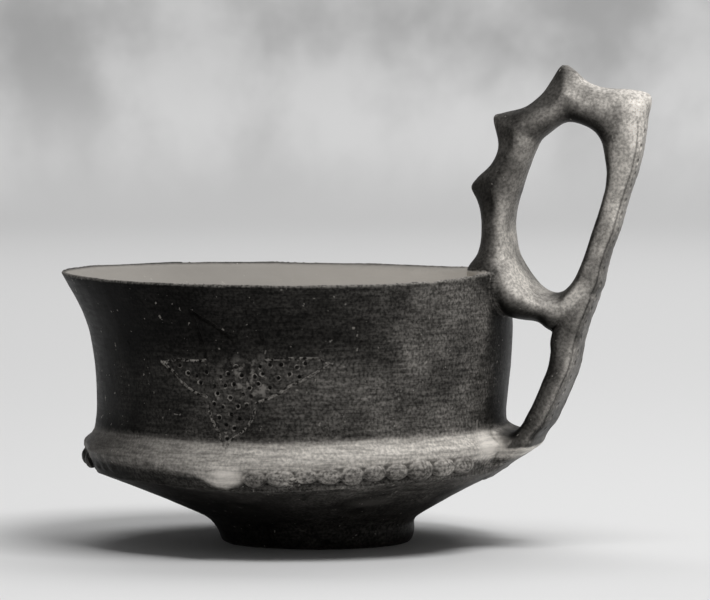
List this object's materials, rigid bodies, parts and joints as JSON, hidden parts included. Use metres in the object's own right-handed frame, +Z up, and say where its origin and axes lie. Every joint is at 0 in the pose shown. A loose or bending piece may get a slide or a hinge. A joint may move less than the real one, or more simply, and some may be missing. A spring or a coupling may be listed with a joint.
{
  "type": "high-handled clay drinking cup",
  "caption": "Dark burnished clay cup with a flaring lip, a beaded ridge, a low foot, an incised star and a tall horned handle with two openings.",
  "frame": {"origin": "centre of the foot's flat underside", "axes": "+Z up, +X towards the handle"},
  "size_m": [0.1902, 0.1443, 0.1526],
  "materials": {
    "burnished_clay": "hand-burnished dark brown-black low-fired clay, worn pale on the lip and in the incised lines"
  },
  "bodies": {
    "root": {"handled_cup": "burnished_clay"}
  },
  "joints": []
}
